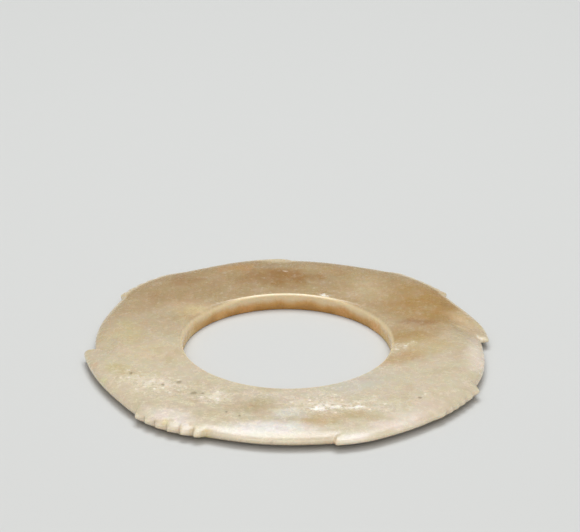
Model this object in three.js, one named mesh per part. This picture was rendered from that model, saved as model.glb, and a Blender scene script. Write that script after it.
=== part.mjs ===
// A notched jade disc: a flat ring of polished stone with a large round hole. Its rim carries four hooks that
// all point the same way round, and each hook is followed by a smooth lobe and a run of five or six small teeth.
// The disc lies flat, with its underside at z = 0. Millimetres, +Z up, and angles in degrees.
import * as THREE from 'three';

// The turned blank
const BORE_DIAMETER = 62;
const THICKNESS = 5.3;
const RIM_RADIUS = 59.2;
const NOSE_WIDTH = 7;
const UPPER_BORE_ROUNDING = 1.2;
const LOWER_BORE_ROUNDING = 0.4;

// The carved rim, one entry a quarter. It is read clockwise from above, from the middle of the left side, which
// is 0 degrees, so 90 is the far side. The heights are above RIM_RADIUS, and below it where they are negative.
// A quarter starts at the tip of its hook and steps in to the notch, where its smooth lobe begins. The lobe's
// three heights are evenly spaced along it, up to the foot of the teeth. The cuts part the teeth, and the crests
// are the heights of the first, the middle and the last tooth. The end crests stand that far from the first and
// the last cut. The rise has three heights too, evenly spaced between the heel, where the last tooth has come
// down, and the tip of the next hook.
const QUARTERS = [
	{
		tip: { at: - 4.7, height: 1.2 },
		notch: { at: - 4.4, height: - 2.2 },
		lobe: [ - 1.7, - 1.3, - 0.8 ],
		foot: { at: 31.8, height: 0.1 },
		crests: [ 2.7, 3, 2.9 ],
		endCrests: [ 1.5, 1.5 ],
		cuts: [ 36.5, 40.5, 44.1, 48.2 ],
		cutDepth: 0.9,
		heel: { at: 57.6, height: 0.5 },
		rise: [ 0.3, 0.8, 1.4 ],
	},
	{
		tip: { at: 88, height: 1.95 },
		notch: { at: 91.8, height: 0.2 },
		lobe: [ - 0.1, - 0.1, 0.2 ],
		foot: { at: 121.5, height: 1 },
		crests: [ 2.9, 2.4, 2.3 ],
		endCrests: [ 2, 1.8 ],
		cuts: [ 127.8, 131.2, 134.7, 137.8, 141 ],
		cutDepth: 0.8,
		heel: { at: 144.4, height: 0.4 },
		rise: [ 0, 0.6, 1.5 ],
	},
	{
		tip: { at: 174.3, height: 1.6 },
		notch: { at: 174.7, height: - 1.1 },
		lobe: [ - 0.6, 0.1, 0.8 ],
		foot: { at: 204.4, height: 1.1 },
		crests: [ 3.2, 3.1, 3.1 ],
		endCrests: [ 2.1, 1.9 ],
		cuts: [ 209.3, 213.1, 216.2, 218.9, 221.6 ],
		cutDepth: 0.7,
		heel: { at: 226.5, height: 2.6 },
		rise: [ 2.7, 2.9, 3.3 ],
	},
	{
		tip: { at: 256.5, height: 3 },
		notch: { at: 257.1, height: 1 },
		lobe: [ 0.9, 0.9, 0.6 ],
		foot: { at: 292.4, height: 0.3 },
		crests: [ 2.7, 3.6, 3.4 ],
		endCrests: [ 1.1, 2.2 ],
		cuts: [ 296.2, 300.2, 304.2, 307.8, 311.4 ],
		cutDepth: 1.4,
		heel: { at: 315.4, height: 1.4 },
		rise: [ 0.4, 0.2, 0.6 ],
	},
];

// How finely each stretch is divided
const STEP_PARTS = 3;
const CURVE_PARTS = 9;
const HALF_TOOTH_PARTS = 2;
const NOSE_PARTS = 12;
const ROUNDING_PARTS = 3;

const FULL_TURN = 360;

// From 0 to 1: steep out of a sharp inner corner, then rounding over
function rollOver( share ) {

	return Math.sin( share * Math.PI / 2 );

}

// The height of a tooth's crest, on the curve through the first, the middle and the last
function crestHeight( crests, share ) {

	const [ first, middle, last ] = crests;
	const bend = first + last - 2 * middle;
	const slope = last - first;
	const off = 2 * share - 1;
	return middle + ( slope * off + bend * off * off ) / 2;

}

// Adds stations from one angle up to the next, each with its height; the last angle belongs to what follows
function addStations( stations, from, to, parts, height ) {

	for ( let i = 0; i < parts; i ++ ) {

		const share = i / parts;
		stations.push( { angle: from + ( to - from ) * share, height: height( share ) } );

	}

}

// The slope between a high point and a low one, with its sharp corner at the low one
function addStep( stations, high, low, down ) {

	const height = ( share ) => low.height + ( high.height - low.height ) * rollOver( down ? 1 - share : share );
	const [ from, to ] = down ? [ high.at, low.at ] : [ low.at, high.at ];
	addStations( stations, from, to, STEP_PARTS, height );

}

// A smooth stretch through evenly spaced heights
function addCurve( stations, start, middle, end ) {

	const heights = [ start.height, ...middle, end.height ];
	const curve = new THREE.SplineCurve( heights.map( ( height, i ) => new THREE.Vector2( i, height ) ) );
	addStations( stations, start.at, end.at, CURVE_PARTS, ( share ) => curve.getPoint( share ).y );

}

// The run of teeth from the first crest to the last, with a sharp valley at each cut
function addTeeth( stations, { crests, cuts, cutDepth }, firstCrest, lastCrest ) {

	const crestAngles = [ firstCrest ];
	for ( let i = 1; i < cuts.length; i ++ ) crestAngles.push( ( cuts[ i - 1 ] + cuts[ i ] ) / 2 );
	crestAngles.push( lastCrest );

	const heightAt = ( angle, valley ) => {

		const line = crestHeight( crests, ( angle - firstCrest ) / ( lastCrest - firstCrest ) );
		return line - cutDepth * valley * valley;

	};

	cuts.forEach( ( cut, i ) => {

		const before = crestAngles[ i ];
		const after = crestAngles[ i + 1 ];
		const falling = ( share ) => heightAt( before + ( cut - before ) * share, share );
		const rising = ( share ) => heightAt( cut + ( after - cut ) * share, 1 - share );
		addStations( stations, before, cut, HALF_TOOTH_PARTS, falling );
		addStations( stations, cut, after, HALF_TOOTH_PARTS, rising );

	} );

}

// Every station round the rim, clockwise: its angle and how far the rim stands out there
function rimStations() {

	const stations = [];
	QUARTERS.forEach( ( quarter, i ) => {

		const { tip, notch, lobe, foot, crests, endCrests, cuts, heel, rise } = quarter;
		const isLast = i === QUARTERS.length - 1;
		const nextTip = isLast ? QUARTERS[ 0 ].tip : QUARTERS[ i + 1 ].tip;
		const riseEnd = { at: nextTip.at + ( isLast ? FULL_TURN : 0 ), height: nextTip.height };
		const firstCrest = { at: cuts[ 0 ] - endCrests[ 0 ], height: crests[ 0 ] };
		const lastCrest = { at: cuts[ cuts.length - 1 ] + endCrests[ 1 ], height: crests[ 2 ] };

		addStep( stations, tip, notch, true );
		addCurve( stations, notch, lobe, foot );
		addStep( stations, firstCrest, foot, false );
		addTeeth( stations, quarter, firstCrest.at, lastCrest.at );
		addStep( stations, lastCrest, heel, true );
		addCurve( stations, heel, rise, riseEnd );

	} );
	return stations;

}

// The ring's section, a closed line round the stone: each point's radius, its level above mid-thickness, and
// the share of the rim's carving that it takes. The carving fades out from the rim to the flat faces.
function ringSection() {

	const half = THICKNESS / 2;
	const bore = BORE_DIAMETER / 2;
	const upper = Math.min( UPPER_BORE_ROUNDING, half );
	const lower = Math.min( LOWER_BORE_ROUNDING, half );
	const section = [];
	const add = ( radius, level, carving ) => section.push( { radius, level, carving } );

	for ( let i = 0; i <= ROUNDING_PARTS; i ++ ) {

		const turn = i / ROUNDING_PARTS * Math.PI / 2;
		add( bore + lower * ( 1 - Math.sin( turn ) ), - half + lower * ( 1 - Math.cos( turn ) ), 0 );

	}

	for ( let i = 0; i <= ROUNDING_PARTS; i ++ ) {

		const turn = i / ROUNDING_PARTS * Math.PI / 2;
		add( bore + upper * ( 1 - Math.cos( turn ) ), half - upper * ( 1 - Math.sin( turn ) ), 0 );

	}

	const faceRadius = RIM_RADIUS - NOSE_WIDTH;
	for ( let i = 0; i <= NOSE_PARTS; i ++ ) {

		const turn = ( 0.5 - i / NOSE_PARTS ) * Math.PI;
		const out = Math.cos( turn );
		add( faceRadius + NOSE_WIDTH * out, half * Math.sin( turn ), out );

	}

	section.push( section[ 0 ] );
	return section;

}

// The blank is turned by a lathe, then each of its points goes to its own station on the carved rim
function carvedRing() {

	const section = ringSection();
	const stations = rimStations();
	const profile = section.map( ( { radius, level } ) => new THREE.Vector2( radius, level ) );
	const geometry = new THREE.LatheGeometry( profile, stations.length );
	const position = geometry.getAttribute( 'position' );

	for ( let i = 0; i <= stations.length; i ++ ) {

		const { angle, height } = stations[ i % stations.length ];
		const turn = THREE.MathUtils.degToRad( angle );
		section.forEach( ( { radius, level, carving }, j ) => {

			const reach = radius + height * carving;
			const x = - reach * Math.cos( turn );
			const y = reach * Math.sin( turn );
			position.setXYZ( i * section.length + j, x, y, level );

		} );

	}

	geometry.computeVertexNormals();
	return geometry;

}

// Pale greyish cream stone, polished, with a tan cast
const jade = new THREE.MeshStandardMaterial( { color: 0xcdb993, roughness: 0.25, metalness: 0 } );

const disc = new THREE.Mesh( carvedRing(), jade );
disc.name = 'jade_disc';

// The origin is under the middle of the disc's outline, on the underside
disc.geometry.computeBoundingBox();
const middle = disc.geometry.boundingBox.getCenter( new THREE.Vector3() );
disc.position.set( - middle.x, - middle.y, THICKNESS / 2 );

const part = new THREE.Group();
part.add( disc );

export default part;
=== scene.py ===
"""A notched jade disc on a pale floor: its stone, its carving and its polish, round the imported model."""

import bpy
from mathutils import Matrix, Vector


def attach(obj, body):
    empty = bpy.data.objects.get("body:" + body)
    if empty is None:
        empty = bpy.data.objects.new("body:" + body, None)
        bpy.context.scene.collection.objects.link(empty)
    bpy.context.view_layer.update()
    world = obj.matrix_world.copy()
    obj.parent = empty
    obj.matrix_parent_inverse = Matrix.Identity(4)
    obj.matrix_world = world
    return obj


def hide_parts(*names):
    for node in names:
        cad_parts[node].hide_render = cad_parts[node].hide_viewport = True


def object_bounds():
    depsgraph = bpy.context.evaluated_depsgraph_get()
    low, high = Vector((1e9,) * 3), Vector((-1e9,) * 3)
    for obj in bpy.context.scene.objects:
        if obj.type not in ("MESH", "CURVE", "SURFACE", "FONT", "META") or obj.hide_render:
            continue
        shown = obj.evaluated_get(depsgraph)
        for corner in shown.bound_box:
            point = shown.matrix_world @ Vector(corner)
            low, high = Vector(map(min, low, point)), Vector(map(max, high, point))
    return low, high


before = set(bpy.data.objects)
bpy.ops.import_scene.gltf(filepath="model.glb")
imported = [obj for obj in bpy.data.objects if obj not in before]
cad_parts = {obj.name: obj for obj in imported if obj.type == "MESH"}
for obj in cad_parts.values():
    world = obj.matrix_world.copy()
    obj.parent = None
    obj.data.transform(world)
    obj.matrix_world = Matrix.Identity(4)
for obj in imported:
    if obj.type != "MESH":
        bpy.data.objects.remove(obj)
cad_box = [list(corner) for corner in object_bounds()]

import bisect
import math

import bpy
from mathutils import Matrix, Vector

MM = 0.001
FULL_TURN = 360

# The blank that the disc is carved from, in millimetres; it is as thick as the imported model
BORE_RADIUS = 31
THICKNESS = round((cad_box[1][2] - cad_box[0][2]) / MM, 3)
RIM_RADIUS = 59.2
UPPER_NOSE_WIDTH = 9
BROAD_NOSE_WIDTH = 12.5
LOWER_NOSE_WIDTH = 7
LOWER_BORE_ROUNDING = 0.4

# How round the hole's upper edge is worn, at even steps clockwise from the left
BORE_ROUNDINGS = [1.6, 2.2, 2.4, 0.9, 0.5, 0.9, 2.4, 2.2, 1.6, 1.2, 1, 0.9, 0.9, 0.9, 1, 1.2]
LEAST_ROUNDING = min(BORE_ROUNDINGS)
MOST_ROUNDING = max(BORE_ROUNDINGS)

# How far the upper side of the rim goes from its usual roll-over to its broad one, at the same even steps
NOSE_BREADTHS = [0, 0, 0, 0, 0, 0, 0, 0, 0, 0.1, 0.4, 0.9, 0.6, 1, 0.5, 0]

# Where the hole's middle is on the floor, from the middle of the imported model's outline
HOLE_MIDDLE = (-0.15, -0.32, 0)

# The carved rim, one entry a quarter, read clockwise from above with 0 degrees at the middle of the left
# side. A point is its angle and its height above RIM_RADIUS. Lobe and rise are evenly spaced heights
# between points. Cuts are angles, and end crests are how far the first and last crest are from the nearest
# cut. Bluntness is a share of the most, crest place is where a crest lies between its cuts, and tooth fade
# is how fast the first and the last tooth fade inwards.
QUARTERS = [
    {
        "tip": (-4.5, 1.25),
        "bluntness": 1,
        "tooth fade": (12, 12),
        "crest place": 0.3,
        "notch": (-4.2, -2.2),
        "lobe": [-1.7, -1.3, -0.8],
        "foot": (31.8, 0.1),
        "crests": [2.7, 3, 2.9],
        "end crests": (2.1, 1.5),
        "cuts": [36.5, 40.5, 44.1, 48.2],
        "cut depth": 0.9,
        "heel": (57.6, 0.5),
        "rise": [0.3, 0.8, 1.4],
    },
    {
        "tip": (88, 1.95),
        "bluntness": 0.6,
        "tooth fade": (12, 12),
        "crest place": 0.7,
        "notch": (91.8, 0.2),
        "lobe": [-0.1, -0.1, 0.2],
        "foot": (121.5, 1),
        "crests": [2.9, 2.4, 2.3],
        "end crests": (2, 1.8),
        "cuts": [127.8, 131.2, 134.7, 137.8, 141],
        "cut depth": 0.8,
        "heel": (144.4, 0.4),
        "rise": [0, 0.6, 1.5],
    },
    {
        "tip": (175.1, 1.6),
        "bluntness": 1,
        "tooth fade": (14, 22),
        "crest place": 0.3,
        "notch": (175.5, -1.1),
        "lobe": [-0.6, 0.1, 0.8],
        "foot": (204.4, 1.1),
        "crests": [3.5, 3.1, 3.1],
        "end crests": (2.5, 1.9),
        "cuts": [209.3, 213.1, 216.2, 218.9, 221.6],
        "cut depth": 0.75,
        "heel": (226.5, 2.6),
        "rise": [2.7, 2.9, 3.3],
    },
    {
        "tip": (256.9, 3),
        "bluntness": 0.1,
        "tooth fade": (7, 24),
        "crest place": 0.72,
        "notch": (257.45, 1),
        "lobe": [0.9, 0.9, 0.6],
        "foot": (292.4, 0.3),
        "crests": [2.7, 3.6, 3.4],
        "end crests": (0.9, 2.5),
        "cuts": [295.8, 299.7, 303.6, 307.3, 311],
        "cut depth": 1.4,
        "heel": (315.4, 1.4),
        "rise": [0.4, 0.2, 0.6],
    },
]

# Lobes are the rim's heights smoothed over this many degrees to either side, and they fade evenly inwards.
# What is left is the hooks, which fade this much faster.
LOBE_WIDTH = 14
HOOK_FADE = 5

# The tips of the hooks are worn round over this length, and this much lower
TIP_WEAR = 0.8
TIP_LOSS = 0.2

# Behind its tip a hook is a blunter and flatter plate than the rest of the rim: how far back it is blunt,
# how blunt and how flat it is, and how many degrees to either side of the tip it is flat
BLUNT_LENGTH = 10
BLUNTNESS = 6
FLATNESS = 1.7
FLAT_REACH = 12

# How far the carving leans back on its way in, in degrees, at even steps clockwise from the left
LEANS = [0, 0, 3, 3, 3, 3, 3, 6, 10, 4, 0, 6, 6, -3, -5, -3]

# How hollow the slopes between a tooth's crest and its cuts are
TOOTH_CURVE = 1.6

# Shallow grooves inwards from the notches of two hooks: points by angle and radius, from the rim in
GROOVES = [
    {
        "points": [(258, 61.4), (257.1, 60.1), (256, 59), (254, 58.4)],
        "depth": 0.4,
        "half width": 1.6,
    },
    {
        "points": [(177.4, 58.7), (176.2, 57.8), (174.8, 57.2), (172.5, 56.8)],
        "depth": 0.4,
        "half width": 1.4,
    },
]

# How much narrower a groove is at its inner end
GROOVE_TAPER = 0.4

# The deepest hand wear on the faces, how wide its dips are, and the number that their places grow from
HAND_WEAR = 0.12
HAND_WEAR_SIZE = 18
HAND_WEAR_SEED = 3.0

# How finely each stretch of the rim, each part of the section and each groove is divided
STEP_PARTS = 8
CURVE_PARTS = 58
HALF_TOOTH_PARTS = 8
NOSE_PARTS = 46
UPPER_FACE_PARTS = 20
UNDERSIDE_PARTS = 7
WALL_PARTS = 5
ROUNDING_PARTS = 6
GROOVE_PARTS = 24

# How far points crowd towards the ends of a long stretch, and how close points are joined into one
END_CROWDING = 0.1
SEAM_GAP = 0.001

# The sockets of a Mix node that are for colours: the share, the two colours and the result
MIX_INPUTS = (0, 6, 7)
MIX_OUTPUT = 2


def srgb(red, green, blue, alpha=1.0):
    """A colour as a screen shows it, 0 to 255, as the linear colour that a shader takes."""
    def linear(level):
        level /= 255
        return level / 12.92 if level <= 0.04045 else ((level + 0.055) / 1.055) ** 2.4

    return (linear(red), linear(green), linear(blue), alpha)


def plug(tree, socket, value):
    """Joins another node's socket to this one, or sets its value."""
    if isinstance(value, bpy.types.NodeSocket):
        tree.links.new(value, socket)
    else:
        socket.default_value = value


def add(tree, kind, settings=None, **inputs):
    """Adds a node; an input's name has an underscore for each space."""
    node = tree.nodes.new(kind)
    for name, value in (settings or {}).items():
        setattr(node, name, value)
    for name, value in inputs.items():
        plug(tree, node.inputs[name.replace("_", " ")], value)
    return node


def maths(tree, operation, *values):
    node = add(tree, "ShaderNodeMath", {"operation": operation})
    for socket, value in zip(node.inputs, values):
        plug(tree, socket, value)
    return node.outputs[0]


def vector_maths(tree, operation, *values):
    node = add(tree, "ShaderNodeVectorMath", {"operation": operation})
    for socket, value in zip(node.inputs, values):
        plug(tree, socket, value)
    return node.outputs["Value" if operation in ("LENGTH", "DISTANCE", "DOT_PRODUCT") else "Vector"]


def ramp(tree, value, start, end, low=0.0, high=1.0, smooth=True):
    """Low up to start, high from end on."""
    settings = {"interpolation_type": "SMOOTHSTEP" if smooth else "LINEAR"}
    node = add(tree, "ShaderNodeMapRange", settings, Value=value)
    for name, bound in zip(("From Min", "From Max", "To Min", "To Max"), (start, end, low, high)):
        plug(tree, node.inputs[name], bound)
    return node.outputs["Result"]


def tint(tree, share, below, above, mode="MIX"):
    """Lays the colour above on the colour below by that share."""
    node = add(tree, "ShaderNodeMix", {"data_type": "RGBA", "blend_type": mode})
    for index, value in zip(MIX_INPUTS, (share, below, above)):
        plug(tree, node.inputs[index], value)
    return node.outputs[MIX_OUTPUT]


def hole_middle():
    """The middle of the hole, at mid-thickness."""
    return Vector((*HOLE_MIDDLE[:2], THICKNESS / 2)) * MM


# Carving: the rim's line, the ring's section and the grooves

def roll_over(share):
    """From 0 to 1: steep out of a sharp inner corner, then rounding over."""
    return math.sin(share * math.pi / 2)


def through(values, share):
    """The smooth line through evenly spaced values."""
    place = share * (len(values) - 1)
    index = min(int(place), len(values) - 2)
    off = place - index
    before, start, end, after = (
        values[min(max(index + step, 0), len(values) - 1)] for step in (-1, 0, 1, 2)
    )
    slope_in = (end - before) / 2
    slope_out = (after - start) / 2
    bend = 3 * (end - start) - 2 * slope_in - slope_out
    twist = slope_in + slope_out - 2 * (end - start)
    return start + off * (slope_in + off * (bend + off * twist))


def closer_at_ends(share):
    """Spaces the points of a long stretch closer together near its ends."""
    return share - END_CROWDING * math.sin(2 * math.pi * share)


def none(share):
    return 0


def stretch(start, end, parts, height, cut=none, fullness=none, spacing=lambda share: share):
    """Points of the rim from one angle up to the next, which belongs to what follows."""
    shares = [spacing(part / parts) for part in range(parts)]
    return [(start + (end - start) * share, height(share), cut(share), fullness(share)) for share in shares]


def step(high, low, down, bluntness=0):
    """The slope between a high point and a low one, with its sharp corner at the low one."""
    start, end = (high, low) if down else (low, high)

    def up(share):
        return roll_over(1 - share if down else share)

    return stretch(
        start[0], end[0], STEP_PARTS, lambda share: low[1] + (high[1] - low[1]) * up(share),
        fullness=lambda share: bluntness * up(share),
    )


def teeth(quarter, first, last):
    """The run of teeth from the first crest to the last, with a sharp valley at each cut."""
    cuts = quarter["cuts"]
    crest_angles = [first, *(a + (b - a) * quarter["crest place"] for a, b in zip(cuts, cuts[1:])), last]
    low, middle, high = quarter["crests"]

    def crest(angle):
        off = 2 * (angle - first) / (last - first) - 1
        return middle + ((high - low) * off + (low + high - 2 * middle) * off * off) / 2

    points = []
    for cut, before, after in zip(cuts, crest_angles, crest_angles[1:]):
        points += stretch(
            before, cut, HALF_TOOTH_PARTS, lambda share: crest(before + (cut - before) * share),
            lambda share: -quarter["cut depth"] * share ** TOOTH_CURVE,
        )
        points += stretch(
            cut, after, HALF_TOOTH_PARTS, lambda share: crest(cut + (after - cut) * share),
            lambda share: -quarter["cut depth"] * (1 - share) ** TOOTH_CURVE,
        )
    return points


def near_tip(start, end, length):
    """From 0 to 1 over that length at the end of a rise, which is the tip of a hook."""
    whole = math.radians(end - start) * RIM_RADIUS
    return lambda share: max(0, 1 - (1 - share) * whole / length) ** 2


def rim_line():
    """The rim, clockwise: each point's angle, height, cut between teeth, fullness and fade of the cut."""
    points = []
    for quarter, following in zip(QUARTERS, QUARTERS[1:] + QUARTERS[:1]):
        tip, notch, foot, heel = (quarter[name] for name in ("tip", "notch", "foot", "heel"))
        next_tip = following["tip"]
        if next_tip[0] < tip[0]:
            next_tip = (next_tip[0] + FULL_TURN, next_tip[1])
        first = (quarter["cuts"][0] - quarter["end crests"][0], quarter["crests"][0])
        last = (quarter["cuts"][-1] + quarter["end crests"][1], quarter["crests"][2])
        lobe = [notch[1], *quarter["lobe"], foot[1]]
        rise = [heel[1], *quarter["rise"], next_tip[1]]
        worn = near_tip(heel[0], next_tip[0], TIP_WEAR)
        full = near_tip(heel[0], next_tip[0], BLUNT_LENGTH)
        carved = [
            *step((tip[0], tip[1] - TIP_LOSS), notch, True, quarter["bluntness"]),
            *stretch(
                notch[0], foot[0], CURVE_PARTS, lambda share: through(lobe, share), spacing=closer_at_ends,
            ),
            *step(first, foot, False),
            *teeth(quarter, first[0], last[0]),
            *step(last, heel, True),
            *stretch(
                heel[0], next_tip[0], CURVE_PARTS,
                lambda share: through(rise, share) - TIP_LOSS * worn(share),
                fullness=lambda share: following["bluntness"] * full(share), spacing=closer_at_ends,
            ),
        ]
        near_fade, far_fade = quarter["tooth fade"]
        for point in carved:
            along = min(max((point[0] - foot[0]) / (heel[0] - foot[0]), 0), 1)
            points.append((*point, near_fade + (far_fade - near_fade) * along))
    return points


def smoothed(points):
    """The rim's heights without its steps: each is the mean over LOBE_WIDTH degrees to either side."""
    laps = [(angle + lap * FULL_TURN, height) for lap in (-1, 0, 1) for angle, height, *_ in points]
    angles = [angle for angle, _ in laps]

    def height_at(angle):
        after = bisect.bisect_right(angles, angle)
        (start, low), (end, high) = laps[after - 1], laps[after]
        return low + (high - low) * (angle - start) / (end - start)

    offsets = range(-LOBE_WIDTH, LOBE_WIDTH + 1)
    weights = [math.cos(offset / LOBE_WIDTH * math.pi / 2) ** 2 for offset in offsets]
    return [
        sum(weight * height_at(angle + offset) for weight, offset in zip(weights, offsets)) / sum(weights)
        for angle, *_ in points
    ]


def at_angle(values, angle):
    """The smooth line through values at even steps all the way round."""
    return through([*values, values[0]], angle % FULL_TURN / FULL_TURN)


def flat_at(angle):
    """How flat the plate of a hook is there, and of the lobe next to it, from 0 to FLATNESS."""
    flat = 0
    for quarter in QUARTERS:
        off = abs((angle - quarter["tip"][0] + FULL_TURN / 2) % FULL_TURN - FULL_TURN / 2)
        flat += quarter["bluntness"] * math.cos(min(off / FLAT_REACH, 1) * math.pi / 2) ** 2
    return flat * FLATNESS


def bore_wear(angle):
    """How round the hole's upper edge is there, from 0 where it is sharpest to 1."""
    return (at_angle(BORE_ROUNDINGS, angle) - LEAST_ROUNDING) / (MOST_ROUNDING - LEAST_ROUNDING)


def ring_section(rounding, nose_width):
    """The closed section: each point's radius, its share of the rim's carving, and its level."""
    half = THICKNESS / 2
    upper_end = RIM_RADIUS - nose_width
    lower_end = RIM_RADIUS - LOWER_NOSE_WIDTH
    bore_side = BORE_RADIUS + rounding
    under_side = BORE_RADIUS + LOWER_BORE_ROUNDING
    wall_height = THICKNESS - LOWER_BORE_ROUNDING - rounding
    points = []
    for part in range(ROUNDING_PARTS):
        turn = part / ROUNDING_PARTS * math.pi / 2
        radius = under_side - LOWER_BORE_ROUNDING * math.sin(turn)
        points.append((radius, 0, -half + LOWER_BORE_ROUNDING * (1 - math.cos(turn))))
    for part in range(WALL_PARTS):
        points.append((BORE_RADIUS, 0, -half + LOWER_BORE_ROUNDING + wall_height * part / WALL_PARTS))
    for part in range(ROUNDING_PARTS):
        turn = part / ROUNDING_PARTS * math.pi / 2
        radius = bore_side - rounding * math.cos(turn)
        points.append((radius, 0, half - rounding * (1 - math.sin(turn))))
    for part in range(UPPER_FACE_PARTS):
        points.append((bore_side + (upper_end - bore_side) * part / UPPER_FACE_PARTS, 0, half))
    for part in range(NOSE_PARTS):
        turn = (0.5 - part / NOSE_PARTS) * math.pi
        out = math.cos(turn)
        width = nose_width if turn > 0 else LOWER_NOSE_WIDTH
        points.append((RIM_RADIUS - width * (1 - out), out, half * math.sin(turn)))
    for part in range(UNDERSIDE_PARTS):
        points.append((lower_end + (under_side - lower_end) * part / UNDERSIDE_PARTS, 0, -half))
    return points


def groove_lines():
    """Points along every groove: the angle, the radius, the depth there and the half width."""
    points = []
    for groove in GROOVES:
        angles, radii = zip(*groove["points"])
        for part in range(GROOVE_PARTS + 1):
            share = part / GROOVE_PARTS
            fade = 1 - share * share
            points.append((
                through(angles, share), through(radii, share), groove["depth"] * fade,
                groove["half width"] * (1 - GROOVE_TAPER * share),
            ))
    return points


def table(name, rows, **scales):
    """A helper that the node tree reads: a point for each row, with each column, times its scale."""
    mesh = bpy.data.meshes.new(name)
    mesh.vertices.add(len(rows))
    for (column, scale), values in zip(scales.items(), zip(*rows)):
        cells = mesh.attributes.new(column, "FLOAT", "POINT").data
        cells.foreach_set("value", [value * scale for value in values])
    helper = bpy.data.objects.new(name, mesh)
    bpy.context.scene.collection.objects.link(helper)
    return helper


def attribute(tree, name):
    node = add(tree, "GeometryNodeInputNamedAttribute", {"data_type": "FLOAT"}, Name=name)
    return node.outputs["Attribute"]


def read(tree, helper, name, index):
    """The value in a helper's column, in the row with that index."""
    geometry = add(tree, "GeometryNodeObjectInfo", Object=helper).outputs["Geometry"]
    sample = add(tree, "GeometryNodeSampleIndex", {"data_type": "FLOAT"}, Geometry=geometry, Index=index)
    plug(tree, sample.inputs["Value"], attribute(tree, name))
    return sample.outputs[0]


def scaled(tree, vector, factor):
    node = add(tree, "ShaderNodeVectorMath", {"operation": "SCALE"}, Scale=factor)
    plug(tree, node.inputs[0], vector)
    return node.outputs["Vector"]


def from_polar(tree, turn, reach, level=0.0):
    """The point at a clockwise angle from the left, a distance from the hole's middle and a level."""
    x = maths(tree, "MULTIPLY", maths(tree, "COSINE", turn), maths(tree, "MULTIPLY", reach, -1.0))
    y = maths(tree, "MULTIPLY", maths(tree, "SINE", turn), reach)
    return add(tree, "ShaderNodeCombineXYZ", X=x, Y=y, Z=level).outputs[0]


# What the node tree is given
TREE_INPUTS = {
    "Geometry": "Geometry",
    "Rim": "Object",
    "Section": "Object",
    "Grooves": "Object",
    "Rim Points": "Int",
    "Section Points": "Int",
    "Hook Fade": "Float",
    "Half Thickness": "Float",
    "Seam Gap": "Float",
    "Middle": "Vector",
    "Hand Wear": "Float",
    "Hand Wear Size": "Float",
    "Seed": "Float",
    "Stone": "Material",
}


def swept_ring(tree, given, place):
    """Sweeps a flat grid round: one way it follows the rim's points, the other way the section's."""
    grid = add(
        tree, "GeometryNodeMeshGrid", Size_X=1.0, Size_Y=1.0,
        Vertices_X=maths(tree, "ADD", given["Rim Points"], 1),
        Vertices_Y=maths(tree, "ADD", given["Section Points"], 1),
    )
    across, along, _ = add(tree, "ShaderNodeSeparateXYZ", Vector=place).outputs

    def row_of(count, coordinate):
        """The helper's row for that point of the grid, whose last row and column are its first again."""
        counted = maths(tree, "MULTIPLY", maths(tree, "ADD", coordinate, 0.5), count)
        return maths(tree, "MODULO", maths(tree, "ROUND", counted), count)

    on_rim = row_of(given["Rim Points"], across)
    on_section = row_of(given["Section Points"], along)
    turn, lean, lobe, hook, cut, full, flat, fade, breadth, wear = (
        read(tree, given["Rim"], name, on_rim)
        for name in ("turn", "lean", "lobe", "hook", "cut", "full", "flat", "fade", "breadth", "wear")
    )
    radius, share, level, broadening, widening, lowering = (
        read(tree, given["Section"], name, on_section)
        for name in ("radius", "share", "level", "broadening", "widening", "lowering")
    )

    inside = maths(tree, "SUBTRACT", 1.0, share)
    shoulder = maths(tree, "MULTIPLY", share, inside)
    turn = maths(tree, "SUBTRACT", turn, maths(tree, "MULTIPLY", lean, inside))
    level = maths(tree, "MULTIPLY_ADD", lowering, wear, level)
    flattened = maths(tree, "SUBTRACT", 1.0, maths(tree, "MULTIPLY", flat, shoulder))
    level = maths(tree, "MULTIPLY", level, flattened)
    reach = maths(tree, "MULTIPLY_ADD", widening, wear, radius)
    reach = maths(tree, "MULTIPLY_ADD", broadening, breadth, reach)
    reach = maths(tree, "MULTIPLY_ADD", lobe, share, reach)
    reach = maths(tree, "MULTIPLY_ADD", hook, maths(tree, "POWER", share, given["Hook Fade"]), reach)
    reach = maths(tree, "MULTIPLY_ADD", cut, maths(tree, "POWER", share, fade), reach)
    reach = maths(tree, "MULTIPLY_ADD", full, shoulder, reach)
    swept = add(
        tree, "GeometryNodeSetPosition", Geometry=grid.outputs["Mesh"],
        Position=from_polar(tree, turn, reach, level),
    )
    closed = add(
        tree, "GeometryNodeMergeByDistance", Geometry=swept.outputs[0], Distance=given["Seam Gap"],
    )
    return closed.outputs[0]


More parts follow.
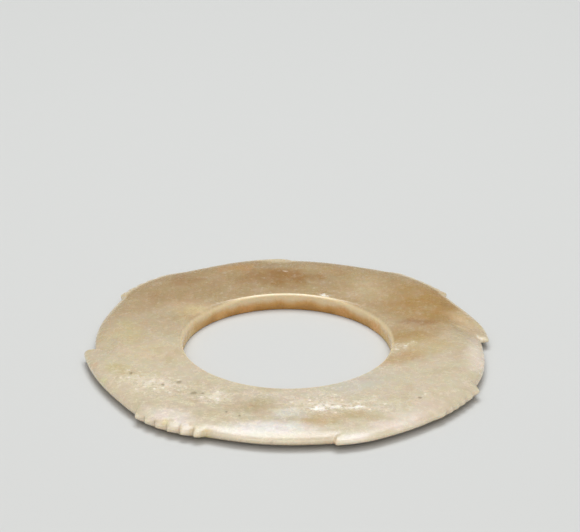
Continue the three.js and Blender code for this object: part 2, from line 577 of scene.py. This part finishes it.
def with_grooves(tree, given, place, ring):
    """Sinks the upper side of the ring around the nearest point of a groove's line."""
    lines = add(tree, "GeometryNodeObjectInfo", Object=given["Grooves"]).outputs["Geometry"]
    laid_out = add(
        tree, "GeometryNodeSetPosition", Geometry=lines,
        Position=from_polar(tree, attribute(tree, "turn"), attribute(tree, "reach")),
    ).outputs[0]
    flat_place = vector_maths(tree, "MULTIPLY", place, (1, 1, 0))
    nearest = add(
        tree, "GeometryNodeSampleNearest", Geometry=laid_out, Sample_Position=flat_place,
    ).outputs[0]
    line_place = add(
        tree, "GeometryNodeSampleIndex", {"data_type": "FLOAT_VECTOR"}, Geometry=laid_out, Index=nearest,
    )
    plug(tree, line_place.inputs["Value"], place)
    distance = vector_maths(tree, "DISTANCE", flat_place, line_place.outputs[0])
    width = read(tree, given["Grooves"], "width", nearest)
    near = maths(tree, "MAXIMUM", maths(tree, "SUBTRACT", 1.0, maths(tree, "DIVIDE", distance, width)), 0.0)
    level = add(tree, "ShaderNodeSeparateXYZ", Vector=place).outputs[2]
    upper = ramp(tree, level, 0.0, given["Half Thickness"])
    depth = maths(tree, "MULTIPLY", upper, read(tree, given["Grooves"], "depth", nearest))
    sunk = maths(tree, "MULTIPLY", ramp(tree, near, 0.0, 1.0), depth)
    grooved = add(tree, "GeometryNodeSetPosition", Geometry=ring, Offset=scaled(tree, (0, 0, -1), sunk))
    return grooved.outputs[0]


def worn_by_hand(tree, given, place, ring):
    """The stone was ground by hand, so its faces dip a little here and there."""
    waves = add(
        tree, "ShaderNodeTexNoise", {"noise_dimensions": "4D"}, Vector=place, W=given["Seed"], Detail=1.0,
        Scale=maths(tree, "DIVIDE", 1.0, given["Hand Wear Size"]),
    )
    dip = maths(tree, "MULTIPLY", waves.outputs[0], maths(tree, "MULTIPLY", given["Hand Wear"], -1.0))
    normal = add(tree, "GeometryNodeInputNormal").outputs[0]
    return add(tree, "GeometryNodeSetPosition", Geometry=ring, Offset=scaled(tree, normal, dip)).outputs[0]


def carving_tree():
    """Sweeps the section along the rim, cuts the grooves, and wears the faces a little uneven."""
    tree = bpy.data.node_groups.new("carved_ring", "GeometryNodeTree")
    for name, kind in TREE_INPUTS.items():
        tree.interface.new_socket(name=name, in_out="INPUT", socket_type="NodeSocket" + kind)
    tree.interface.new_socket(name="Geometry", in_out="OUTPUT", socket_type="NodeSocketGeometry")
    given = tree.nodes.new("NodeGroupInput").outputs
    place = add(tree, "GeometryNodeInputPosition").outputs[0]
    ring = swept_ring(tree, given, place)
    ring = with_grooves(tree, given, place, ring)
    ring = worn_by_hand(tree, given, place, ring)
    ring = add(tree, "GeometryNodeSetPosition", Geometry=ring, Offset=given["Middle"]).outputs[0]
    ring = add(tree, "GeometryNodeSetShadeSmooth", Geometry=ring).outputs[0]
    ring = add(tree, "GeometryNodeRealizeInstances", Geometry=ring).outputs[0]
    ring = add(tree, "GeometryNodeSetMaterial", Geometry=ring, Material=given["Stone"]).outputs[0]
    plug(tree, tree.nodes.new("NodeGroupOutput").inputs[0], ring)
    return tree


def made_by(tree, name, **values):
    """Runs a node tree once and keeps what it makes as a plain mesh object."""
    scene = bpy.context.scene
    maker = bpy.data.objects.new("maker", bpy.data.meshes.new("maker"))
    scene.collection.objects.link(maker)
    modifier = maker.modifiers.new("made", "NODES")
    modifier.node_group = tree
    names = {item.name: item.identifier for item in tree.interface.items_tree if item.in_out == "INPUT"}
    for label, value in values.items():
        modifier[names[label.replace("_", " ")]] = value
    bpy.context.view_layer.update()
    seen = maker.evaluated_get(bpy.context.evaluated_depsgraph_get())
    mesh = bpy.data.meshes.new_from_object(seen)
    mesh.name = name
    made = bpy.data.objects.new(name, mesh)
    scene.collection.objects.link(made)
    bpy.data.objects.remove(maker)
    return made


# The stone

# Its colours, from 0 to 255
NEAR_STONE = (201, 188, 160)
FAR_STONE = (170, 145, 102)
WARM_CLOUD = (214, 186, 142)
COOL_CLOUD = (200, 192, 172)
CHALK = (241, 230, 212)
BRIGHT_CHALK = (250, 245, 238)
EARTH = (120, 100, 62)
WALL_CREAM = (232, 212, 172)
# On the hole's wall: the stone's amber with painted glow, and with painted shade on the far wall, lowest
# there
SIDE_AMBER_AND_GLOW = (220, 182, 106)
FAR_AMBER_AND_SHADE = (202, 152, 76)
DEEP_AMBER_AND_SHADE = (166, 116, 44)
# Painted highlight along the hole's sharp upper edge
SHARP_EDGE_HIGHLIGHT = (245, 229, 198)
# Painted glow along the rim's outer edge and on its far shoulder
OUTER_EDGE_GLOW = (242, 230, 206)
FAR_SHOULDER_GLOW = (238, 222, 188)

# The faint casts that the colour is multiplied by
ROSY = (1.015, 0.972, 1.005, 1)
GREENISH = (0.985, 0.995, 0.975, 1)

# Broad areas of colour in it: the middle, half lengths and turn of each, in millimetres and degrees from
# the middle of the hole, then its tone and how much of it shows
CLOUDS = {
    "tan over the far left": ((-26, 38), (34, 18), 25, (168, 142, 101), 0.9),
    "honey over the far right": ((42, 25), (24, 21), -40, (165, 129, 68), 0.95),
    "brown behind the hole": ((0, 43), (22, 9), 0, (146, 104, 40), 0.85),
    "orange by the far hook": ((-17, 51), (9, 4), 10, (178, 138, 86), 0.7),
    "tan by the far left teeth": ((-31, 42), (8, 7), 0, (154, 122, 76), 0.7),
    "grey by the far hook": ((9, 40), (8, 5), 0, (172, 150, 112), 0.7),
    "grey in the far right": ((25, 35), (12, 13), -20, (188, 166, 127), 0.75),
    "yellow at the left": ((-48, 4), (7, 11), 0, (192, 175, 128), 0.7),
    "rose at the left": ((-30, 22), (10, 9), 0, (196, 171, 133), 0.6),
    "cream by the hole": ((-28, 19), (5, 8), -35, (204, 182, 134), 0.6),
    "pale over the near left": ((-45, -24), (20, 13), -30, (202, 188, 156), 0.85),
    "olive at the left": ((-49, -20), (8, 4), -10, (188, 172, 126), 0.8),
    "olive in front": ((-9, -41), (12, 7), 0, (184, 166, 132), 0.9),
    "tan in front": ((9, -50), (11, 4.5), 0, (192, 170, 130), 0.9),
    "olive by the near hook": ((18, -48), (9, 4.5), 5, (190, 172, 134), 0.9),
    "grey white in front": ((1, -47), (7, 5.5), 0, (210, 204, 190), 0.8),
    "grey inside the near right": ((20, -28), (17, 8), 25, (198, 191, 174), 0.8),
    "orange inside the right": ((34, -11), (13, 6), 25, (182, 152, 106), 0.75),
    "brown at the right": ((38, 13), (7, 4), 0, (146, 104, 50), 0.8),
    "tan at the right": ((37, 4), (12, 11), 0, (166, 133, 76), 0.85),
    "tan over the right": ((41, -4), (12, 10), 0, (190, 167, 116), 0.6),
    "rose at the near right": ((41, -41), (10, 7), 30, (208, 190, 168), 0.7),
    "pale at the right": ((56, -8), (6, 14), 0, (222, 210, 192), 0.8),
    "pale grey at the left": ((-39, -8), (15, 10), 0, (206, 189, 155), 0.65),
    "grey white inside the front": ((0, -36), (22, 4), 0, (212, 202, 186), 0.35),
    "rose by the right hook": ((52, 17), (8, 9), 0, (202, 179, 138), 0.7),
    "white by the near teeth": ((-33, -47), (12, 5), -35, (228, 218, 208), 0.6),
    # Painted sheen on the near rise
    "painted rosy sheen on the near rise": ((32, -49), (12, 5), 30, (224, 211, 198), 0.6),
}

# Small accents, in the same way. Some are painted light and shade: a sheen along the near lobe, highlights
# on the near hook, in the right crease and on the right hook's end, and shade in the near notch
ACCENTS = {
    "painted sheen along the near lobe": ((-4.5, -54.3), (19.5, 4.8), 0, (234, 232, 230), 0.6),
    "painted highlight on the near hook": ((19, -58.5), (7, 2.6), 20, (216, 204, 194), 0.7),
    "painted shade in the near notch": ((12.2, -60.8), (4, 2.8), 0, (186, 140, 90), 1.0),
    "grey above the near lobe": ((-2.5, -49.8), (1.8, 2), 0, (180, 176, 152), 0.6),
    "grey beside it": ((0.8, -50.6), (1.3, 1.6), 0, (184, 178, 154), 0.55),
    "brown by the bright heart": ((11.3, -45.3), (1.7, 1.1), 0, (170, 140, 98), 0.75),
    "painted highlight in the right crease": ((57.8, 5), (0.9, 3.2), 30, (246, 238, 216), 0.6),
    "painted light on the right hook's end": ((59.8, 4.6), (1.4, 1.2), 0, (242, 232, 212), 0.5),
    "yellow on the right ridge": ((58.8, 13), (2.2, 7), 20, (212, 194, 144), 0.5),
    "orange behind the left hook": ((-56.5, -14.9), (1.4, 2.4), 0, (206, 168, 116), 0.35),
    "tan in the last cut": ((-26.9, -53.4), (1.1, 2.6), 0, (188, 160, 116), 0.7),
    "yellow in the middle cut": ((-34.5, -50), (1.8, 1.8), 0, (206, 188, 132), 0.7),
    "yellow at the foot": ((-22.4, -55.2), (2, 1.8), 0, (210, 192, 134), 0.7),
    "rose on the left rim": ((-57.5, 6), (2.4, 12), 0, (216, 202, 174), 0.35),
    "green on the near left rim": ((-53.5, -25), (2, 3), 0, (198, 194, 146), 0.6),
    "rose in the near left": ((-38, -26.2), (2.8, 1.4), 0, (226, 206, 184), 0.7),
}

# Where light glows orange in the hole's wall, in the same way
GLOWS = {
    "right end": ((26.5, 15.5), (4, 4), 0, (228, 172, 104), 0.7),
    "right of the middle": ((17, 26), (4, 4), 0, (212, 158, 90), 0.6),
    "left of the middle": ((-12.5, 28.5), (3.5, 4), 0, (208, 150, 82), 0.6),
    "left": ((-20, 23.5), (3.5, 4), 0, (222, 174, 104), 0.6),
    "left end": ((-29, 9), (3, 6), 0, (226, 196, 140), 0.7),
}

# Where white flecks gather: the middle, half lengths and turn of each cluster, and how dense it is
FLECKS = {
    "near left": ((-40, -28), (18, 9), -25, 0.85),
    "by the near left": ((-21, -37.5), (8, 4.5), 0, 0.9),
    "in front": ((14, -41.5), (24, 8), 0, 1.0),
    "right of the heart": ((20, -42), (9, 4), 0, 1.15),
    "bright heart in front": ((8.2, -43.4), (6.5, 4), 0, 1.5),
    "inside the right": ((35, -4), (6, 3), 0, 0.6),
    "near right": ((41, -34), (9, 4), 20, 0.35),
    "on the hole's far edge": ((13, 30.6), (4, 1.8), -20, 1.25),
    "behind the hole": ((0.8, 46.6), (1.4, 1), 0, 0.45),
    "right rim": ((58, -13), (2.5, 9), 0, 0.8),
}

# Small dark pits: the middle and the radius of each
PITS = {
    "left": ((-45.4, -22.4), 1.1),
    "near left": ((-35.8, -29.8), 1.0),
    "inside the near left": ((-31.3, -27.9), 1.5),
    "pair, large": ((-26.7, -34.9), 1.7),
    "pair, small": ((-24.2, -34.9), 1.0),
    "front, left": ((-17.1, -46), 0.9),
    "front, right": ((-13.4, -48.2), 0.8),
    "front rim": ((-4.2, -60.4), 1.1),
    "near right": ((38.5, -36.5), 1.0),
}

# The patterns in the stone: how many fit in a millimetre, how many finer ones each carries, and how much
# the finer ones show
PATTERNS = {
    "drift": (0.1, 5.0, 0.62),
    "fine drift": (0.8, 3.0, 0.5),
    "warmth": (0.13, 2.0, 0.5),
    "hue": (0.22, 3.0, 0.55),
    "mottle": (0.5, 5.0, 0.65),
    "streaks": (1.3, 4.0, 0.65),
    "grain": (2.2, 3.0, 0.7),
    "speckle": (0.55, 5.0, 0.7),
    "amber": (0.25, 4.0, 0.5),
    "ripples": (0.3, 2.0, 0.5),
}

# How far the borders of areas wander, in millimetres, and how patterns are drawn out along x, y and z
DRIFT = 13
FINE_DRIFT = 1.6
STREAK_STRETCH = (0.2, 1, 0.4)
AMBER_STRETCH = (1, 1, 0.3)

# A span says where a pattern or a place starts to count and where it counts in full. Where two more
# numbers follow, they are how much it counts at those two ends, instead of 0 and 1. First, the clouds.
NEAR_TO_FAR = (-25, 42)
WARM_SPAN = (0.5, 0.75, 0, 0.25)
COOL_SPAN = (0.5, 0.3, 0, 0.15)
ROSY_TO_GREENISH = (0.38, 0.62)

# How much lighter and darker the patterns make the stone, everywhere and, on top, in the busy area
SHADE_SPAN = (0.25, 0.75)
MOTTLE_SHADE = 0.07
STREAK_SHADE = 0.05
GRAIN_SHADE = 0.05
SHADE_EVERYWHERE = 0.7
SHADE_WHERE_BUSY = 1.2
BUSY_AREA = ((-16, -42), (56, 28))

# The white flecks, and the haze and the dots among them. Each size of dot has how many fit in a millimetre,
# how many are left out and how much the rest show.
GATHER_LIFT = 0.2
FLECK_SPAN = (0.55, 0.85)
FLECK_STRENGTH = (0.3, 1.2, 0.45, 1)
HAZE_SPAN = (0.3, 0.7, 0.05, 0.4)
BRIGHT_CHALK_SPAN = (0.7, 1.3)
DOTS = {"large": (0.42, 0.4, 0.85), "small": (0.75, 0.55, 0.6)}
DOT_SPAN = (0.1, 0.28, 1, 0)
DOT_CHOICE = 0.3
DOT_GATHER_SPAN = (0, 0.45)
LONE_DOT = 0.1
EARTH_IN_PITS = 0.7

# The hole's wall, by radius, by height above the floor and by y, and the painted highlight on its sharp
# upper edge, by distance
WALL_SPAN = (BORE_RADIUS + 1.2, BORE_RADIUS + 0.3)
CREAM_ON_WALL = 0.85
AMBER_DRIFT = 2.6
# Low in the wall the stone's amber carries painted glow, and painted shade that is deepest on the far wall
AMBER_SPAN = (5.4, 3)
DEEPEST_SHADE_SPAN = (3.8, 1.8, 0, 0.8)
FAR_WALL_SPAN = (8, 26)
SHARP_EDGE_HIGHLIGHT_SPAN = (0.3, 0.7, 0.8, 0)

# Where the rim's painted glow lies, by radius, by distance from mid-thickness, by height above the floor and
# by y
RIM_GLOW_SPAN = (50, 56)
OUTER_EDGE_GLOW_SPAN = (1, 0.2, 0, 0.45)
SHOULDER_GLOW_SPAN = (THICKNESS / 2 + 1.8, THICKNESS / 2 + 1.4, 0, 0.45)
FAR_RIM_GLOW_SPAN = (5, 30)

# The polish, duller on flecks and in pits, and the relief left in it: each pattern's share and the height
POLISH_SPAN = (0.3, 0.7, 0.2, 0.3)
FLECK_DULLNESS = 0.2
PIT_DULLNESS = 0.4
GRAIN_RELIEF = 0.25
RIPPLE_RELIEF = 2.5
PIT_RELIEF = -1.5
RELIEF_HEIGHT = 0.022

# How much jade bends light, how much light spreads inside it, how far, and each colour's share of that
REFRACTION = 1.61
INNER_LIGHT = 0.45
INNER_LIGHT_REACH = 2.5
INNER_LIGHT_COLOURS = (1, 0.7, 0.42)


def area(tree, place, middle, half_lengths, turn=0, core=0.2):
    """1 in the core of an oval area of the face, falling to 0 at its border."""
    cosine = math.cos(math.radians(turn))
    sine = math.sin(math.radians(turn))
    length, width = half_lengths
    off = vector_maths(tree, "SUBTRACT", place, (*middle, 0))
    along = vector_maths(tree, "DOT_PRODUCT", off, (cosine / length, sine / length, 0))
    across = vector_maths(tree, "DOT_PRODUCT", off, (-sine / width, cosine / width, 0))
    squared = maths(tree, "MULTIPLY_ADD", across, across, maths(tree, "MULTIPLY", along, along))
    return ramp(tree, maths(tree, "SQRT", squared), core, 1.0, 1.0, 0.0)


def pattern(tree, place, name, output=0):
    scale, detail, roughness = PATTERNS[name]
    node = add(tree, "ShaderNodeTexNoise", Vector=place, Scale=scale, Detail=detail, Roughness=roughness)
    return node.outputs[output]


def led_astray(tree, place, name, distance):
    """The place pushed about by a pattern, so that borders inside the stone wander."""
    push = vector_maths(tree, "SUBTRACT", pattern(tree, place, name, "Color"), (0.5, 0.5, 0.5))
    return vector_maths(tree, "ADD", place, scaled(tree, push, distance))


def laid_on(tree, colour, place, areas, within=1.0):
    """Lays the tones of a set of areas on the colour, no further than that share."""
    for middle, half_lengths, turn, tone, strength in areas.values():
        share = maths(tree, "MULTIPLY", area(tree, place, middle, half_lengths, turn), strength)
        colour = tint(tree, maths(tree, "MULTIPLY", share, within), colour, srgb(*tone))
    return colour


def clouded(tree, place, wandering, fine_wandering):
    """The colour of the stone: its areas, with painted highlights, sheen and shade among them, and cloudy
    mottling, warm and cool, rosy and greenish.
    """
    y = add(tree, "ShaderNodeSeparateXYZ", Vector=place).outputs["Y"]
    colour = tint(tree, ramp(tree, y, *NEAR_TO_FAR), srgb(*NEAR_STONE), srgb(*FAR_STONE))
    colour = laid_on(tree, colour, wandering, CLOUDS)
    colour = laid_on(tree, colour, fine_wandering, ACCENTS)
    warmth = pattern(tree, place, "warmth")
    colour = tint(tree, ramp(tree, warmth, *WARM_SPAN), colour, srgb(*WARM_CLOUD), "MULTIPLY")
    colour = tint(tree, ramp(tree, warmth, *COOL_SPAN), colour, srgb(*COOL_CLOUD))
    cast = tint(tree, ramp(tree, pattern(tree, place, "hue"), *ROSY_TO_GREENISH), ROSY, GREENISH)
    return tint(tree, 1.0, colour, cast, "MULTIPLY")


def shaded(tree, colour, place, patterns):
    """Patterns make the colour lighter and darker, most of all in front on the left."""
    light = 0.0
    for values, most in patterns:
        light = maths(tree, "ADD", light, ramp(tree, values, *SHADE_SPAN, -most, most, smooth=False))
    busy = area(tree, place, *BUSY_AREA)
    strength = maths(tree, "MULTIPLY_ADD", busy, SHADE_WHERE_BUSY, SHADE_EVERYWHERE)
    return scaled(tree, colour, maths(tree, "MULTIPLY_ADD", light, strength, 1.0))


def gathered(tree, place):
    """How densely white flecks gather."""
    gather = 0.0
    for middle, half_lengths, turn, density in FLECKS.values():
        share = maths(tree, "MULTIPLY", area(tree, place, middle, half_lengths, turn, 0.0), density)
        gather = maths(tree, "MAXIMUM", gather, share)
    return gather


def dotted(tree, place, gather, size, left_out, most):
    """White dots, one in each cell of a pattern that isn't left out, fewer away from the clusters."""
    cells = add(tree, "ShaderNodeTexVoronoi", {"voronoi_dimensions": "2D"}, Vector=place, Scale=size)
    dot = ramp(tree, cells.outputs["Distance"], *DOT_SPAN)
    lot = add(tree, "ShaderNodeSeparateXYZ", Vector=cells.outputs["Color"]).outputs[0]
    dot = maths(tree, "MULTIPLY", dot, ramp(tree, lot, left_out, left_out + DOT_CHOICE))
    return maths(tree, "MULTIPLY", dot, ramp(tree, gather, *DOT_GATHER_SPAN, LONE_DOT, most))


def chalked(tree, colour, place, gather, flecks, mottle):
    """Chalky white where flecks gather: ragged patches, dots of two sizes, and a haze."""
    white = maths(tree, "MULTIPLY", flecks, ramp(tree, gather, *FLECK_STRENGTH))
    for size, left_out, most in DOTS.values():
        white = maths(tree, "MAXIMUM", white, dotted(tree, place, gather, size, left_out, most))
    haze = maths(tree, "MULTIPLY", gather, ramp(tree, mottle, *HAZE_SPAN))
    white = maths(tree, "MAXIMUM", white, haze)
    chalk = tint(tree, ramp(tree, gather, *BRIGHT_CHALK_SPAN), srgb(*CHALK), srgb(*BRIGHT_CHALK))
    return tint(tree, white, colour, chalk)


def pitted(tree, place):
    """1 in the middle of each pit, falling to 0 at its border."""
    pits = 0.0
    for middle, radius in PITS.values():
        pits = maths(tree, "MAXIMUM", pits, area(tree, place, middle, (radius, radius)))
    return pits


def wall_with_painted_light(tree, colour, place, fine_wandering, reach):
    """The hole's wall: cream, and low down the stone's amber with painted glow and painted shade, deepest on
    the far wall; a painted highlight makes its sharp upper edge a pale line.
    """
    _, y, z = add(tree, "ShaderNodeSeparateXYZ", Vector=place).outputs
    wall = ramp(tree, reach, *WALL_SPAN)
    colour = tint(tree, maths(tree, "MULTIPLY", wall, CREAM_ON_WALL), colour, srgb(*WALL_CREAM))
    drift = pattern(tree, vector_maths(tree, "MULTIPLY", place, AMBER_STRETCH), "amber")
    height = maths(tree, "MULTIPLY_ADD", drift, AMBER_DRIFT, z)
    # The stone's amber low in the wall, with painted glow on the sides and painted shade on the far wall
    amber = maths(tree, "MULTIPLY", wall, ramp(tree, height, *AMBER_SPAN))
    far_side = ramp(tree, y, *FAR_WALL_SPAN)
    colour = tint(tree, amber, colour, tint(tree, far_side, srgb(*SIDE_AMBER_AND_GLOW), srgb(*FAR_AMBER_AND_SHADE)))
    deepest = maths(tree, "MULTIPLY", ramp(tree, height, *DEEPEST_SHADE_SPAN), far_side)
    colour = tint(tree, maths(tree, "MULTIPLY", wall, deepest), colour, srgb(*DEEP_AMBER_AND_SHADE))
    colour = laid_on(tree, colour, fine_wandering, GLOWS, amber)
    # Painted highlight: a pale line along the hole's sharp upper edge
    section_place = add(tree, "ShaderNodeCombineXYZ", X=reach, Y=0.0, Z=z).outputs[0]
    from_corner = vector_maths(tree, "DISTANCE", section_place, (BORE_RADIUS, 0, THICKNESS))
    return tint(tree, ramp(tree, from_corner, *SHARP_EDGE_HIGHLIGHT_SPAN), colour, srgb(*SHARP_EDGE_HIGHLIGHT))


def with_painted_rim_glow(tree, colour, place, reach):
    """Painted glow: a pale line along the thin outer edge, and a pale band on the far side of the rim just
    below the face, as light through and off the edge.
    """
    _, y, z = add(tree, "ShaderNodeSeparateXYZ", Vector=place).outputs
    rim = ramp(tree, reach, *RIM_GLOW_SPAN)
    from_middle = maths(tree, "ABSOLUTE", maths(tree, "SUBTRACT", z, THICKNESS / 2))
    edge = maths(tree, "MULTIPLY", rim, ramp(tree, from_middle, *OUTER_EDGE_GLOW_SPAN))
    # Painted glow along the outer edge
    colour = tint(tree, edge, colour, srgb(*OUTER_EDGE_GLOW))
    shoulder = maths(tree, "MULTIPLY", rim, ramp(tree, z, *SHOULDER_GLOW_SPAN))
    shoulder = maths(tree, "MULTIPLY", shoulder, ramp(tree, y, *FAR_RIM_GLOW_SPAN))
    # Painted glow on the far shoulder
    return tint(tree, shoulder, colour, srgb(*FAR_SHOULDER_GLOW))


def jade():
    """Polished jade: grey cream and honey tan, with streaks, white flecks, pits and an amber hole, and with
    painted highlights, sheen, glow and shade on the carving and in the hole.
    """
    material = bpy.data.materials.new("jade")
    material.use_nodes = True
    tree = material.node_tree
    tree.nodes.clear()
    place = scaled(tree, add(tree, "ShaderNodeTexCoord").outputs["Object"], 1 / MM)
    place = vector_maths(tree, "SUBTRACT", place, HOLE_MIDDLE)
    reach = vector_maths(tree, "LENGTH", vector_maths(tree, "MULTIPLY", place, (1, 1, 0)))
    wandering = led_astray(tree, place, "drift", DRIFT)
    fine_wandering = led_astray(tree, place, "fine drift", FINE_DRIFT)
    mottle = pattern(tree, place, "mottle")
    streaks = pattern(tree, vector_maths(tree, "MULTIPLY", wandering, STREAK_STRETCH), "streaks")
    grain = pattern(tree, place, "grain")
    gather = gathered(tree, wandering)
    speckle = maths(tree, "MULTIPLY_ADD", gather, GATHER_LIFT, pattern(tree, fine_wandering, "speckle"))
    flecks = ramp(tree, speckle, *FLECK_SPAN)
    pits = pitted(tree, fine_wandering)

    colour = clouded(tree, place, wandering, fine_wandering)
    shades = ((mottle, MOTTLE_SHADE), (streaks, STREAK_SHADE), (grain, GRAIN_SHADE))
    colour = shaded(tree, colour, place, shades)
    colour = chalked(tree, colour, fine_wandering, gather, flecks, mottle)
    colour = tint(tree, maths(tree, "MULTIPLY", pits, EARTH_IN_PITS), colour, srgb(*EARTH))
    colour = wall_with_painted_light(tree, colour, place, fine_wandering, reach)
    colour = with_painted_rim_glow(tree, colour, place, reach)

    polish = ramp(tree, mottle, *POLISH_SPAN)
    polish = maths(tree, "MULTIPLY_ADD", flecks, FLECK_DULLNESS, polish)
    polish = maths(tree, "MULTIPLY_ADD", pits, PIT_DULLNESS, polish)
    relief = maths(tree, "MULTIPLY_ADD", grain, GRAIN_RELIEF, streaks)
    relief = maths(tree, "MULTIPLY_ADD", pattern(tree, place, "ripples"), RIPPLE_RELIEF, relief)
    relief = maths(tree, "MULTIPLY_ADD", pits, PIT_RELIEF, relief)
    bump = add(tree, "ShaderNodeBump", Height=relief, Strength=1.0, Distance=RELIEF_HEIGHT * MM)

    stone = add(
        tree, "ShaderNodeBsdfPrincipled", Base_Color=colour, Roughness=polish, Normal=bump.outputs["Normal"],
    )
    stone.inputs["IOR"].default_value = REFRACTION
    stone.inputs["Subsurface Weight"].default_value = INNER_LIGHT
    stone.inputs["Subsurface Radius"].default_value = INNER_LIGHT_COLOURS
    stone.inputs["Subsurface Scale"].default_value = INNER_LIGHT_REACH * MM
    output = tree.nodes.new("ShaderNodeOutputMaterial")
    plug(tree, output.inputs["Surface"], stone.outputs[0])
    return material


# The disc

def rim_row(point, lobe):
    """One point of the rim as a row of the helper that the node tree reads."""
    angle, height, cut, full, fade = point
    lean = at_angle(LEANS, angle)
    return (
        math.radians(angle), math.radians(lean), lobe, height - lobe, cut, full * BLUNTNESS,
        flat_at(angle), fade, at_angle(NOSE_BREADTHS, angle), bore_wear(angle - lean),
    )


def section_rows():
    """The usual section, with what its broadest rim adds to the radius and its most worn edge to both."""
    usual = ring_section(LEAST_ROUNDING, UPPER_NOSE_WIDTH)
    broadest = ring_section(LEAST_ROUNDING, BROAD_NOSE_WIDTH)
    most_worn = ring_section(MOST_ROUNDING, UPPER_NOSE_WIDTH)
    return [
        (*point, broad[0] - point[0], worn[0] - point[0], worn[2] - point[2])
        for point, broad, worn in zip(usual, broadest, most_worn)
    ]


def carved_disc(stone):
    points = rim_line()
    rim_rows = [rim_row(point, lobe) for point, lobe in zip(points, smoothed(points))]
    section = section_rows()
    groove_rows = [(math.radians(angle), *rest) for angle, *rest in groove_lines()]
    rim_table = table(
        "rim", rim_rows, turn=1, lean=1, lobe=MM, hook=MM, cut=MM, full=MM,
        flat=1, fade=1, breadth=1, wear=1,
    )
    section_table = table(
        "section", section, radius=MM, share=1, level=MM, broadening=MM, widening=MM, lowering=MM,
    )
    groove_table = table("grooves", groove_rows, turn=1, reach=MM, depth=MM, width=MM)
    disc = made_by(
        carving_tree(), "carved_disc", Rim=rim_table, Section=section_table, Grooves=groove_table,
        Rim_Points=len(rim_rows), Section_Points=len(section), Hook_Fade=float(HOOK_FADE),
        Half_Thickness=THICKNESS / 2 * MM, Seam_Gap=SEAM_GAP * MM, Middle=hole_middle(),
        Hand_Wear=HAND_WEAR * MM, Hand_Wear_Size=HAND_WEAR_SIZE * MM, Seed=HAND_WEAR_SEED, Stone=stone,
    )
    for helper in (rim_table, section_table, groove_table):
        bpy.data.objects.remove(helper)
    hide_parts("jade_disc")
    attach(disc, "root")


carved_disc(jade())


# The floor, the light and the camera

# The floor, in metres, and its colour
FLOOR_REACH = 3
FLOOR_COLOUR = (202, 201, 198)
FLOOR_ROUGHNESS = 0.7

# The soft lights, all aimed at the disc: place, width and height in metres, watts and colour
SOFTBOXES = {
    "back_softbox": ((0, 0.34, 0.94), 0.6, 0.5, 5.2, (0.9, 0.96, 1)),
    "overhead_softbox": ((0, -0.35, 1.75), 2.4, 2.2, 19.5, (1, 1, 1)),
    "front_softbox": ((0, -1.3, 0.8), 1.2, 0.7, 4.6, (1, 1, 1)),
}
ROOM_COLOUR = (0.9, 0.9, 0.9, 1)
ROOM_LIGHT = 0.34

# The camera, from where the photo was taken: how steeply it looks down and how far it rolls, in degrees,
# its place from the middle of the hole at mid-thickness, its lens and sensor, and the nearest that it sees
LOOK_DOWN = 25.259
ROLL = 0.375
CAMERA_FROM_HOLE = (0.74, -868.3, 436.5)
LENS = 202.3
SENSOR_WIDTH = 36
NEAREST_SEEN = 10


def floor():
    mesh = bpy.data.meshes.new("floor")
    corners = [(x * FLOOR_REACH, y * FLOOR_REACH, 0) for x, y in ((-1, -1), (1, -1), (1, 1), (-1, 1))]
    mesh.from_pydata(corners, [], [(0, 1, 2, 3)])
    plane = bpy.data.objects.new("floor", mesh)
    bpy.context.scene.collection.objects.link(plane)
    material = bpy.data.materials.new("pale_floor")
    material.use_nodes = True
    shader = material.node_tree.nodes["Principled BSDF"]
    shader.inputs["Base Color"].default_value = srgb(*FLOOR_COLOUR)
    shader.inputs["Roughness"].default_value = FLOOR_ROUGHNESS
    mesh.materials.append(material)


def softbox(name, place, width, height, watts, colour):
    light = bpy.data.lights.new(name, "AREA")
    light.color = colour
    light.shape = "RECTANGLE"
    light.size = width
    light.size_y = height
    light.energy = watts
    lamp = bpy.data.objects.new(name, light)
    lamp.location = place
    lamp.rotation_euler = (-Vector(place)).to_track_quat("-Z", "Y").to_euler()
    bpy.context.scene.collection.objects.link(lamp)


def room():
    world = bpy.data.worlds.new("studio")
    world.use_nodes = True
    background = world.node_tree.nodes["Background"]
    background.inputs["Color"].default_value = ROOM_COLOUR
    background.inputs["Strength"].default_value = ROOM_LIGHT
    bpy.context.scene.world = world


def camera():
    down = math.radians(LOOK_DOWN)
    roll = math.radians(ROLL)
    right = Vector((1, 0, 0))
    up = Vector((0, math.sin(down), math.cos(down)))
    ahead = Vector((0, math.cos(down), -math.sin(down)))
    rolled_right = right * math.cos(roll) + up * math.sin(roll)
    rolled_up = up * math.cos(roll) - right * math.sin(roll)
    data = bpy.data.cameras.new("camera")
    data.sensor_width = SENSOR_WIDTH
    data.sensor_fit = "HORIZONTAL"
    data.lens = LENS
    data.clip_start = NEAREST_SEEN * MM
    seen_from = bpy.data.objects.new("camera", data)
    turned = Matrix((rolled_right, rolled_up, -ahead)).transposed().to_4x4()
    seen_from.matrix_world = Matrix.Translation(Vector(CAMERA_FROM_HOLE) * MM + hole_middle()) @ turned
    bpy.context.scene.collection.objects.link(seen_from)
    bpy.context.scene.camera = seen_from


floor()
for name, (place, width, height, watts, colour) in SOFTBOXES.items():
    softbox(name, place, width, height, watts, colour)
room()
camera()
bpy.context.scene.view_settings.view_transform = "Standard"
